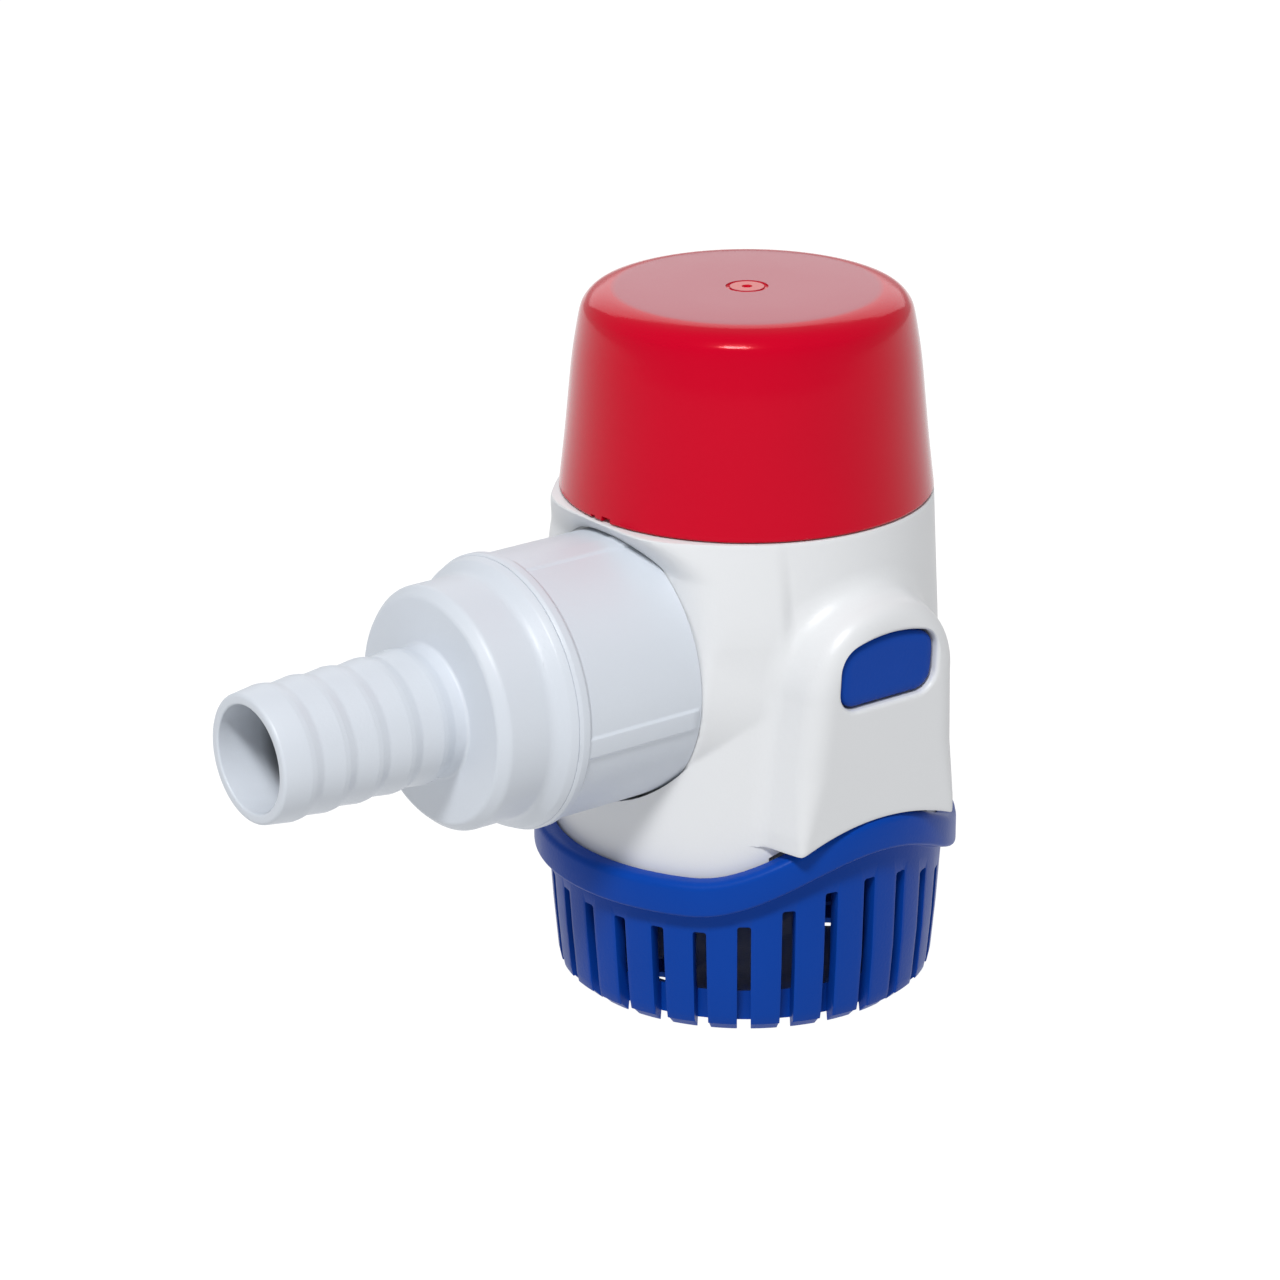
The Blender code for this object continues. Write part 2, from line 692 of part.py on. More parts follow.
def end_bell():
    profile = [
        (17.0 * MM, 99.6 * MM),
        (17.0 * MM, 97.2 * MM),
        (3.4 * MM, 97.2 * MM),
        (3.4 * MM, 102.2 * MM),
        (5.2 * MM, 102.2 * MM),
        (5.8 * MM, 99.6 * MM),
    ]
    finish("motor_end_bell", turned(profile, 24), STEEL)


def magnets():
    for name, middle in (("magnet_front", -90), ("magnet_rear", 90)):
        half = 62
        outline = arc((0, 0), 17.0 * MM, middle - half, middle + half, 12)
        outline += arc((0, 0), 13.4 * MM, middle + half, middle - half, 12)
        low, high = 56 * MM, 84 * MM
        mesh = plate(outline, high - low, Matrix.Translation((0, 0, (low + high) / 2)))
        finish(name, mesh, FERRITE)


def rotor():
    finish("motor_shaft", rod(SHAFT_RADIUS, 25.3 * MM, 102.0 * MM, 16), STEEL)
    core = finish("armature_core", ring(12.9 * MM, SHAFT_BORE_RADIUS, 58 * MM, 82 * MM, 30), STEEL)
    for i in range(5):
        slot = block((5.5 * MM, -1.4 * MM, 57 * MM), (14 * MM, 1.4 * MM, 83 * MM))
        slot.transform(Matrix.Rotation(math.tau * i / 5, 4, "Z"))
        boolean(core, slot)
    for name, low in (("lower_winding", 52.6 * MM), ("upper_winding", 82.3 * MM)):
        profile = [
            (10.2 * MM, low + 5.1 * MM),
            (11.2 * MM, low + 4.0 * MM),
            (11.2 * MM, low + 1.2 * MM),
            (10.0 * MM, low),
            (5.0 * MM, low),
            (3.4 * MM, low + 1.2 * MM),
            (3.4 * MM, low + 4.0 * MM),
            (4.4 * MM, low + 5.1 * MM),
        ]
        finish(name, turned(profile, 20), COPPER)
    finish("commutator", ring(4.2 * MM, SHAFT_BORE_RADIUS, 88.2 * MM, 94.6 * MM, 20), COPPER)
    finish("lower_thrust_washer", ring(3.6 * MM, SHAFT_BORE_RADIUS, 51.7 * MM, 52.3 * MM, 16), BRASS)
    finish("upper_thrust_washer", ring(3.6 * MM, SHAFT_BORE_RADIUS, 95.4 * MM, 96.3 * MM, 16), BRASS)


def bushes():
    finish("lower_bush", ring(3.1 * MM, SHAFT_BORE_RADIUS, 46.6 * MM, 51.2 * MM, 16), BRONZE)
    finish("upper_bush", ring(3.1 * MM, SHAFT_BORE_RADIUS, 97.4 * MM, 101.8 * MM, 16), BRONZE)


def brush_gear():
    finish("brush_card", ring(17.0 * MM, 6.0 * MM, 87.9 * MM, 89.1 * MM, 28), BLACK_PLASTIC)
    for name, side in (("left", -1), ("right", 1)):
        low, high = sorted((side * 4.6 * MM, side * 10.0 * MM))
        brush = block((low, -2 * MM, 89.5 * MM), (high, 2 * MM, 93.5 * MM))
        finish(f"brush_{name}", brush, GRAPHITE)
        start = Matrix.Translation((side * 10.7 * MM, 0, 91.5 * MM))
        place = start @ Matrix.Rotation(side * math.radians(90), 4, "Y")
        finish(f"brush_spring_{name}", coil(1.4 * MM, 0.25 * MM, 1.1 * MM, 4, place), STEEL)
        low, high = sorted((side * 10.6 * MM, side * 11.4 * MM))
        terminal = block((low, -2.4 * MM, 99.9 * MM), (high, 2.4 * MM, 107.5 * MM))
        finish(f"terminal_{name}", terminal, BRASS)


# Impeller

def impeller():
    disc = [
        (20.0 * MM, 37.0 * MM),
        (20.0 * MM, 35.5 * MM),
        (4.2 * MM, 35.5 * MM),
        (3.6 * MM, 26.4 * MM),
        (SHAFT_BORE_RADIUS, 26.4 * MM),
        (SHAFT_BORE_RADIUS, 38.6 * MM),
        (4.0 * MM, 38.6 * MM),
        (4.6 * MM, 37.0 * MM),
    ]
    profile = disc[6:] + disc[:6]
    obj = finish("impeller", turned(profile, 32), BLACK_PLASTIC)
    vane_count = 6
    inner, outer, half = 3.4 * MM, 19.7 * MM, 0.7 * MM
    sweep = math.radians(38)
    steps = 5
    for i in range(vane_count):
        sides = ([], [])
        for j in range(steps + 1):
            part = j / steps
            radius = inner + (outer - inner) * part
            angle = math.tau * i / vane_count + sweep * part**1.4
            along = Vector((math.cos(angle), math.sin(angle)))
            across = Vector((-math.sin(angle), math.cos(angle))) * half
            sides[0].append(tuple(along * radius + across))
            sides[1].append(tuple(along * radius - across))
        low, high = 26.4 * MM, 35.9 * MM
        place = Matrix.Translation((0, 0, (low + high) / 2))
        boolean(obj, plate(sides[1] + sides[0][::-1], high - low, place), "UNION")
    finish("impeller_clip", ring(3.2 * MM, SHAFT_BORE_RADIUS, 25.3 * MM, 26.1 * MM, 16), STEEL)


# Outlet

def outlet_collar():
    profile = [
        (21.4 * MM, COLLAR_END),
        (22.2 * MM, 49.1 * MM),
        (22.2 * MM, 48.0 * MM),
        (21.6 * MM, 47.4 * MM),
        (21.6 * MM, 26.5 * MM),
        (21.1 * MM, OUTLET_FACE + GAP),
        (18.9 * MM, OUTLET_FACE + GAP),
        (18.9 * MM, 46.7 * MM),
        (17.1 * MM, 46.7 * MM),
        (17.1 * MM, COLLAR_END),
    ]
    obj = finish("outlet_collar", turned(profile, 36, OUT), COOL_WHITE)
    rib_half, rib_top = 1.75 * MM, 22.2 * MM
    for degrees in RIB_ANGLES:
        rib = block((20.5 * MM, -rib_half, 26.6 * MM), (rib_top, rib_half, 47.8 * MM))
        # Local X points up and local Y along +Y, so the angle from -Y towards +Z is 90 - degrees.
        turn = Matrix.Rotation(math.radians(degrees - 90), 4, "Z")
        rib.transform(OUT @ turn)
        boolean(obj, rib, "UNION")


def outlet_nozzle():
    profile = [(9.4 * MM, NOZZLE_MOUTH), (10.2 * MM, NOZZLE_MOUTH - 0.7 * MM)]
    for i in range(BARB_COUNT):
        crest = 91.2 * MM - i * BARB_PITCH
        profile += [(10.85 * MM, crest), (10.1 * MM, crest - 2.0 * MM)]
    profile += [
        (10.6 * MM, 63.4 * MM),
        (11.6 * MM, 62.5 * MM),
        (17.4 * MM, 62.5 * MM),
        (18.9 * MM, 61.8 * MM),
        (19.6 * MM, 60.2 * MM),
        (19.6 * MM, 53.5 * MM),
        (20.4 * MM, 52.2 * MM),
        (21.1 * MM, 50.9 * MM),
        (21.2 * MM, COLLAR_END + GAP),
        (16.8 * MM, COLLAR_END + GAP),
        (16.8 * MM, 46.4 * MM),
        (18.6 * MM, 46.4 * MM),
        (18.6 * MM, 42.9 * MM),
        (15.3 * MM, 42.9 * MM),
        (15.3 * MM, 58.0 * MM),
        (HOSE_BORE_RADIUS, 60.0 * MM),
        (HOSE_BORE_RADIUS, NOZZLE_MOUTH),
    ]
    finish("outlet_nozzle", turned(profile, 28, OUT), COOL_WHITE)


def check_valve():
    finish("outlet_gasket", ring(18.3 * MM, 13.5 * MM, 38.3 * MM, 39.7 * MM, 24, OUT), BLACK_RUBBER)
    seat = ring(18.5 * MM, 10.4 * MM, 40.0 * MM, 42.4 * MM, 24, OUT)
    obj = finish("check_valve_ring", seat, BLACK_PLASTIC)
    pin_place = Matrix.Translation((-FLAP_AXIS_OUT, 0, FLAP_AXIS_Z))
    pin_place = pin_place @ Matrix.Rotation(math.radians(90), 4, "X")
    for side in (-1, 1):
        low, high = sorted((side * 3.9 * MM, side * 5.6 * MM))
        far = -FLAP_AXIS_OUT - 1.6 * MM
        lug = block((far, low, FLAP_AXIS_Z - 1.3 * MM), (-41.5 * MM, high, FLAP_AXIS_Z + 1.1 * MM))
        boolean(obj, lug, "UNION")
    boolean(obj, rod(0.9 * MM, -9 * MM, 9 * MM, 10, pin_place))
    finish("flap_pin", rod(0.6 * MM, -5.6 * MM, 5.6 * MM, 10, pin_place), STEEL)
    flap_radius, flap_back = 11.6 * MM, 42.8 * MM
    flap = rod(flap_radius, flap_back, flap_back + 1.2 * MM, 24, OUT)
    to_axis = Matrix.Translation((FLAP_AXIS_OUT, 0, -FLAP_AXIS_Z))
    flap.transform(to_axis)
    flap_obj = finish("check_flap", flap, BLACK_RUBBER)
    flap_obj.location = (-FLAP_AXIS_OUT, 0, FLAP_AXIS_Z)
    neck_x = (-FLAP_AXIS_OUT - 0.2 * MM, -flap_back - 0.05 * MM)
    neck = block((neck_x[0], -3.5 * MM, FLAP_AXIS_Z - 5 * MM), (neck_x[1], 3.5 * MM, FLAP_AXIS_Z))
    boolean(flap_obj, neck, "UNION")
    knuckle = Matrix.Translation((-FLAP_AXIS_OUT, 0, FLAP_AXIS_Z)) @ Matrix.Rotation(math.radians(90), 4, "X")
    boolean(flap_obj, rod(1.75 * MM, -3.5 * MM, 3.5 * MM, 14, knuckle), "UNION")
    boolean(flap_obj, rod(0.9 * MM, -6 * MM, 6 * MM, 10, knuckle))


clear_scene()
PARTS = new_collection("bilge_pump")
CUTTERS = new_collection("cutters")
CUTTERS.hide_render = True

strainer_base()
lock_tab("lock_tab_front", -1)
lock_tab("lock_tab_rear", 1)
pump_body()
volute_cup()
volute_screws()
motor_cap()
wire_gland()
motor_canister()
seals()
motor_can()
end_bell()
magnets()
rotor()
bushes()
brush_gear()
impeller()
outlet_collar()
outlet_nozzle()
check_valve()
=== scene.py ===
"""The look of a submersible bilge pump: finer pieces, materials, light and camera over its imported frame.

The pump's axis is Z and its base stands on z = 0. The outlet points along -X, and the two
lock buttons face -Y and +Y. Shapes are worked out in millimetres and made in metres.
"""

import json
import math

import bmesh
import bpy
import numpy as np
from mathutils import Matrix, Vector


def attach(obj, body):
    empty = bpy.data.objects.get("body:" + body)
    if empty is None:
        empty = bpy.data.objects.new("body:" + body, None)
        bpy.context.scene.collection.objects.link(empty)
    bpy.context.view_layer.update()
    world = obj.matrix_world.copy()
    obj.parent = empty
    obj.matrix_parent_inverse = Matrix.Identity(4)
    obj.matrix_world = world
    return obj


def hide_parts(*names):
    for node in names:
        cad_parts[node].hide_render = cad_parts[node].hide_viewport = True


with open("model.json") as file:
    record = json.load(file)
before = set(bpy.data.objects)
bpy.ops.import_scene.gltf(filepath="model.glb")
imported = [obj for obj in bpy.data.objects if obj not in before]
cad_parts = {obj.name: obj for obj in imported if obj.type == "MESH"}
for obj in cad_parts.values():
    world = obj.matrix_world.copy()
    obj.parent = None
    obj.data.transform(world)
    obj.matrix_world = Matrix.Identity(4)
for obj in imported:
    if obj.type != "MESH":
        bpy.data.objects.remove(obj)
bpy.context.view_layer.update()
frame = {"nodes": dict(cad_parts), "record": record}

MM = 0.001
OUTLET_Z = 58.7
OUT = Matrix.Translation((0, 0, OUTLET_Z)) @ Matrix.Rotation(math.radians(-90), 4, "Y")

WAVE_HEIGHT = 8.8
WAVE_HALF_ANGLE = math.radians(54)
SLOT_COUNT = 28
SLOT_HALF_WIDTH = 1.1
SLOT_INSIDE = 28.4
SLOT_TOP = 18.0
SLOT_RISE = 7.0
FLOOR_TOP = 2.4
FLOOR_SCREW_X = 18.0

PAD_FACE = 36.4
PAD_FACE_Z = 60.0
PAD_LEAN = -0.075
PAD_HALF_WIDTH = 13.9
PAD_FOOT_HALF_WIDTH = 15.7
PAD_ARCH_Z = 58.5
PAD_FOOT_Z = 36.1
PAD_FOOT_RISE = 3.1
PAD_FOOT_Y = 34.5

BODY_BOTTOM = 21.5
BODY_TOP = 83.0
BODY_EDGE = 0.35
WALL_HEIGHTS = (20, 32, 56, 63, 75, 83)
WALL_RADII = (31.4, 31.4, 31.3, 31.05, 30.5, 30.15)
OUTLET_FACE = 25.7
CAP_TOP = 115.9
GLAND_Z = 92.0
CUP_SCREW_REACH = 26.7
CUP_SCREW_HOLE = 1.6
CUP_SCREW_TURNS = (0, 120, 240)

COLLAR_RADIUS = 21.6
COLLAR_RIB_HEIGHT = 0.38
COLLAR_RIB_HALF_WIDTH = 2.05
COLLAR_RIB_TURNS = (-99, -9, 81, 171)
BARB_COUNT = 5
BARB_PITCH = 6.0
BORE = 8.54
SMALL = 1e-5


# Mesh helpers. They take millimetres and give objects in metres.

def new_object(name, bm, place=None, sharp=38):
    """Turns a bmesh in millimetres into an object in metres, smooth apart from its sharp edges."""
    bmesh.ops.recalc_face_normals(bm, faces=bm.faces)
    mesh = bpy.data.meshes.new(name)
    bm.to_mesh(mesh)
    bm.free()
    if place:
        mesh.transform(place)
    mesh.transform(Matrix.Scale(MM, 4))
    mesh.shade_smooth()
    mesh.set_sharp_from_angle(angle=math.radians(sharp))
    obj = bpy.data.objects.new(name, mesh)
    bpy.context.scene.collection.objects.link(obj)
    return obj


def rounded(outline, steps=5):
    """An outline of (u, v, radius) corners as (u, v) points, each corner turned to an arc."""
    points = []
    count = len(outline)
    for i, (u, v, radius) in enumerate(outline):
        corner = Vector((u, v))
        before = Vector(outline[i - 1][:2]) - corner
        after = Vector(outline[(i + 1) % count][:2]) - corner
        if radius <= 0 or before.length < SMALL or after.length < SMALL:
            points.append((u, v))
            continue
        half = before.angle(after) / 2
        if half > math.radians(89):
            points.append((u, v))
            continue
        reach = min(radius / math.tan(half), before.length * 0.49, after.length * 0.49)
        start = corner + before.normalized() * reach
        end = corner + after.normalized() * reach
        centre = corner + (before.normalized() + after.normalized()).normalized() * (reach / math.cos(half))
        first, last = start - centre, end - centre
        turn = first.angle_signed(last)
        for k in range(steps + 1):
            points.append(tuple(centre + Matrix.Rotation(-turn * k / steps, 2) @ first))
    return points


def through(points, steps=8):
    """A smooth curve through points, as Catmull and Rom drew it."""
    ends = [points[0], *points, points[-1]]
    result = []
    for a, b, c, d in zip(ends, ends[1:], ends[2:], ends[3:]):
        a, b, c, d = (np.array(p, float) for p in (a, b, c, d))
        for k in range(steps):
            t = k / steps
            square = (2 * a - 5 * b + 4 * c - d) * t**2
            cube = (3 * b - a - 3 * c + d) * t**3
            result.append(tuple(0.5 * (2 * b + (c - a) * t + square + cube)))
    result.append(tuple(points[-1]))
    return result


def turned(name, outline, steps=160, place=None, angles=None, shift=None, sharp=38):
    """A closed (radius, height) outline turned about Z. shift moves each point of the grid."""
    if angles is None:
        angles = np.linspace(0, math.tau, steps, endpoint=False)
    radius = np.array([p[0] for p in outline])
    height = np.array([p[1] for p in outline])
    angle, radius = np.meshgrid(angles, radius, indexing="ij")
    height = np.broadcast_to(height, radius.shape).copy()
    if shift:
        radius, height = shift(angle, radius, height)
    spots = np.stack([radius * np.cos(angle), radius * np.sin(angle), height], axis=-1)
    bm = bmesh.new()
    rows = [[bm.verts.new(p) for p in row] for row in spots.reshape(len(angles), -1, 3)]
    for this, following in zip(rows, rows[1:] + rows[:1]):
        for k in range(len(outline)):
            j = (k + 1) % len(outline)
            bm.faces.new((this[k], following[k], following[j], this[j]))
    bmesh.ops.remove_doubles(bm, verts=bm.verts, dist=SMALL)
    bmesh.ops.dissolve_degenerate(bm, edges=bm.edges, dist=SMALL)
    return new_object(name, bm, place, sharp)


def lofted(name, rings, place=None, sharp=38):
    """A closed body through rings of points, with its first and last ring capped."""
    bm = bmesh.new()
    rows = [[bm.verts.new(p) for p in ring] for ring in rings]
    for low, high in zip(rows, rows[1:]):
        for k in range(len(low)):
            j = (k + 1) % len(low)
            bm.faces.new((low[k], low[j], high[j], high[k]))
    bm.faces.new(rows[0][::-1])
    bm.faces.new(rows[-1])
    return new_object(name, bm, place, sharp)


def box(low, high, place=None):
    """A block between two corners."""
    ring = [(low[0], low[1]), (high[0], low[1]), (high[0], high[1]), (low[0], high[1])]
    return lofted("box", [[(x, y, z) for x, y in ring] for z in (low[2], high[2])], place)


def rod(radius, low, high, place=None, steps=96):
    """A solid cylinder along Z between two heights."""
    outline = [(0, low), (radius, low), (radius, high), (0, high)]
    return turned("rod", outline, steps, place)


def boolean(obj, others, operation="DIFFERENCE"):
    """Cuts others from obj, joins them to it or keeps what they share, and removes them."""
    for other in others:
        modifier = obj.modifiers.new("boolean", "BOOLEAN")
        modifier.operation = operation
        modifier.solver = "MANIFOLD"
        modifier.object = other
    bpy.context.view_layer.update()
    graph = bpy.context.evaluated_depsgraph_get()
    mesh = bpy.data.meshes.new_from_object(obj.evaluated_get(graph))
    obj.modifiers.clear()
    obj.data = mesh
    for other in others:
        bpy.data.objects.remove(other, do_unlink=True)


def soften(obj, sharp=38):
    """Shades the surface smooth again, apart from its sharp edges."""
    obj.data.shade_smooth()
    obj.data.set_sharp_from_angle(angle=math.radians(sharp))


def bevel_edges(obj, wanted, width, segments=2):
    """Rounds the sharp edges of obj whose two ends, in millimetres, are wanted."""
    bm = bmesh.new()
    bm.from_mesh(obj.data)
    chosen = []
    for edge in bm.edges:
        if not edge.is_manifold or edge.calc_face_angle(0) < math.radians(40):
            continue
        if all(wanted(v.co / MM) for v in edge.verts):
            chosen.append(edge)
    bmesh.ops.bevel(
        bm, geom=chosen, offset=width * MM, segments=segments, profile=0.5, affect="EDGES", clamp_overlap=True
    )
    bm.to_mesh(obj.data)
    bm.free()


def wave(angle):
    """How far the rim rises at an angle about Z: 1 beside each lock button, 0 away from them."""
    from_button = np.arctan2(np.abs(np.cos(angle)), np.abs(np.sin(angle)))
    part = np.clip(from_button / WAVE_HALF_ANGLE, 0, 1)
    return np.cos(math.pi / 2 * part) ** 2


def spread(start, end, count, density):
    """count values from start to end, closer together where density is higher."""
    fine = np.linspace(start, end, 4000)
    weight = np.cumsum(density(fine))
    weight = (weight - weight[0]) / (weight[-1] - weight[0])
    return np.interp(np.linspace(0, 1, count), weight, fine)


# Strainer

def strainer():
    """The slotted basket with its wavy rim, on bars that stand just below its floor plate."""
    outline = rounded(
        [
            (31.8, 27.3, 0.2),
            (34.8, 27.3, 1.3),
            (34.8, 21.6, 0.7),
            (32.4, 21.2, 0.35),
            (32.3, 19.9, 0),
            (31.75, 11.8, 0),
            (31.0, 3.4, 0),
            (30.3, 0.0, 1.1),
        ],
        4,
    )
    outline += [(SLOT_INSIDE + 0.3, 0.0), (SLOT_INSIDE + 0.1, 1.5), (24.2, 1.5), (23.8, 0.0), (0.0, 0.0)]
    outline += [(0.0, FLOOR_TOP), (20.0, FLOOR_TOP)]
    outline += rounded([(28.6, FLOOR_TOP, 0.8), (29.5, 12.0, 0), (29.9, 21.2, 0.3), (31.8, 21.2, 0.2)], 3)
    pitch = math.tau / SLOT_COUNT
    steps = [math.radians(a) for a in (0, 3.3, 4.9, math.degrees(pitch) / 2, -4.9, -3.3)]
    angles = np.sort([(i * pitch + a) % math.tau for i in range(SLOT_COUNT) for a in steps])

    def rise(angle, radius, height):
        amount = np.clip((height - 12.0) / 9.0, 0, 1)
        return radius, height + WAVE_HEIGHT * amount * wave(angle)

    obj = turned("strainer_basket", outline, angles=angles, shift=rise)
    cutters = []
    for i in range(SLOT_COUNT):
        angle = i * pitch
        top = SLOT_TOP + SLOT_RISE * float(wave(np.array(angle)))
        outline = [
            (-SLOT_HALF_WIDTH, -1.0, 0),
            (SLOT_HALF_WIDTH, -1.0, 0),
            (SLOT_HALF_WIDTH, top, 0.45),
            (-SLOT_HALF_WIDTH, top, 0.45),
        ]
        section = rounded(outline, 4)
        turn = Matrix.Rotation(angle, 4, "Z")
        rings = [[(x, u, v) for u, v in section] for x in (SLOT_INSIDE, 36.0)]
        cutters.append(lofted("slot", rings, turn))
    boolean(obj, cutters)
    screw_hole = [(0, FLOOR_TOP + 1), (4.4, FLOOR_TOP + 1), (4.4, FLOOR_TOP - 0.1)]
    screw_hole += [(2.3, 0.9), (2.3, -1), (0, -1)]
    places = [Matrix.Translation((x, 0, 0)) for x in (-FLOOR_SCREW_X, FLOOR_SCREW_X)]
    boolean(obj, [turned("hole", screw_hole, 64, place) for place in places])

    def on_slot(co):
        radius = math.hypot(co.x, co.y)
        near = (math.atan2(co.y, co.x) + pitch / 2) % pitch - pitch / 2
        return radius > SLOT_INSIDE + 0.05 and abs(radius * math.sin(near)) < SLOT_HALF_WIDTH + 0.05

    bevel_edges(obj, on_slot, 0.18)
    soften(obj)
    return obj


# Lock tabs

def window_outline(inset):
    """The arched button opening in XZ, drawn in by a margin."""
    half, bottom, top, crown_radius = 9.7, 56.3, 68.1, 24.0
    bottom_corner, top_corner = 3.6, 4.0
    far = half - top_corner
    crown = crown_radius - top_corner
    lean = math.asin(far / crown)
    centre_z = top - crown_radius
    arcs = [
        (0, centre_z, crown_radius, np.linspace(math.pi / 2, math.pi / 2 - lean, 13)[:-1]),
        (far, centre_z + crown * math.cos(lean), top_corner, np.linspace(math.pi / 2 - lean, 0, 12)),
        (half - bottom_corner, bottom + bottom_corner, bottom_corner, np.linspace(0, -math.pi / 2, 10)),
    ]
    points = []
    for x, z, radius, angles in arcs:
        points += [(x + (radius - inset) * math.cos(a), z + (radius - inset) * math.sin(a)) for a in angles]
    return points + [(-x, z) for x, z in points[:0:-1]]


def window_loft(name, side, layers):
    """A body of window outlines. Each layer is (depth below the pad's face, inset)."""
    rings = []
    for depth, inset in layers:
        ring = []
        for x, z in window_outline(inset):
            face = PAD_FACE + (PAD_FACE_Z - z) * PAD_LEAN
            ring.append((x, side * (face - depth), z))
        rings.append(ring)
    return lofted(name, rings)


def lock_tab(name, side):
    """A spring tab whose head fills the button opening on one side."""
    stem = rounded(
        [
            (-6.5, 30.4, 0.3),
            (6.5, 30.4, 0.3),
            (6.5, 49.5, 1.5),
            (9.2, 52.5, 1.5),
            (9.2, 65.0, 1.5),
            (5.2, 69.0, 1.5),
            (-5.2, 69.0, 1.5),
            (-9.2, 65.0, 1.5),
            (-9.2, 52.5, 1.5),
            (-6.5, 49.5, 1.5),
        ],
        4,
    )
    obj = lofted(name, [[(x, side * y, z) for x, z in stem] for y in (28.7, 30.7)])
    crown = [(6.8, 0.42), (1.6, 0.42), (1.35, 0.45), (1.15, 0.53), (0.98, 0.7), (0.85, 1.0)]
    crown += [(0.76, 1.4), (0.71, 1.9), (0.7, 2.4)]
    boolean(obj, [window_loft("head", side, crown)], "UNION")
    soften(obj, 30)
    return obj


# Pump body

def smooth_min(a, b, k):
    """The smaller of two distances, with a fillet of about k where they cross."""
    near = np.maximum(k - np.abs(a - b), 0)
    return np.minimum(a, b) - near**2 / (4 * k)


def wall_shape(x, y, z, with_pad):
    """Signed distance to the outside of the body, with the bulge round the outlet and the pads."""
    wall = np.hypot(x, y) - np.interp(z, WALL_HEIGHTS, WALL_RADII)
    rise = z - OUTLET_Z
    upper = np.clip((rise + 2) / 14, 0, 1)
    upper = upper * upper * (3 - 2 * upper)
    stretched = np.where(rise > 0, rise * (1 - 0.38 * np.clip(rise / 8, 0, 1)), rise)
    reach = 36.05 + 0.553 * x - 0.5 * np.clip(x + 15.5, 0, None) ** 2
    bulge = (np.hypot(y, stretched) - reach) * 0.87
    shape = smooth_min(wall, bulge, 0.15 + 3.85 * upper)
    limit = OUTLET_FACE + 8 * np.clip((46 - z) / 3, 0, 1) + 4.5 * np.clip((z - 76.5) / 6.0, 0, 1) ** 1.4
    shape = -smooth_min(-shape, x + limit, 0.5 + 3.0 * upper)
    if not with_pad:
        return shape
    face = np.abs(y) - (PAD_FACE + (PAD_FACE_Z - z) * PAD_LEAN)
    drop = np.clip((PAD_ARCH_Z - z) / (PAD_ARCH_Z - PAD_FOOT_Z), 0, 1)
    half = PAD_HALF_WIDTH + (PAD_FOOT_HALF_WIDTH - PAD_HALF_WIDTH) * drop
    arch = np.clip((z - PAD_ARCH_Z) / PAD_HALF_WIDTH, 0, 1)
    side = np.where(z > PAD_ARCH_Z, np.hypot(x, z - PAD_ARCH_Z), np.abs(x)) - half
    side = side + 0.22 * np.minimum(face, 0)
    rounding = 1.2 + 2.4 * np.clip((z - 34) / 12, 0, 1)
    pad = -smooth_min(-face, -side, rounding)
    return smooth_min(shape, pad, 1.6 + 1.6 * arch)


def outer_radius(angle, z, with_pad):
    """The furthest radius at which the shape is solid, for arrays of angles and heights."""
    steps = np.linspace(44, 26, 73)
    inside = np.full(angle.shape, 26.0)
    outside = np.full(angle.shape, 44.0)
    found = np.zeros(angle.shape, bool)
    for radius in steps:
        value = wall_shape(radius * np.cos(angle), radius * np.sin(angle), z, with_pad)
        hit = (value < 0) & ~found
        inside[hit] = radius
        found |= hit
        outside[~found] = radius
    for _ in range(22):
        middle = (inside + outside) / 2
        value = wall_shape(middle * np.cos(angle), middle * np.sin(angle), z, with_pad)
        inside = np.where(value < 0, middle, inside)
        outside = np.where(value < 0, outside, middle)
    return inside


def pad_foot(angle):
    """The height of the pad's lower edge, level beyond the pad."""
    x = np.abs(np.cos(angle)) / np.maximum(np.abs(np.sin(angle)), SMALL) * PAD_FOOT_Y
    return PAD_FOOT_Z - PAD_FOOT_RISE * np.minimum(x / PAD_FOOT_HALF_WIDTH, 1.0) ** 2


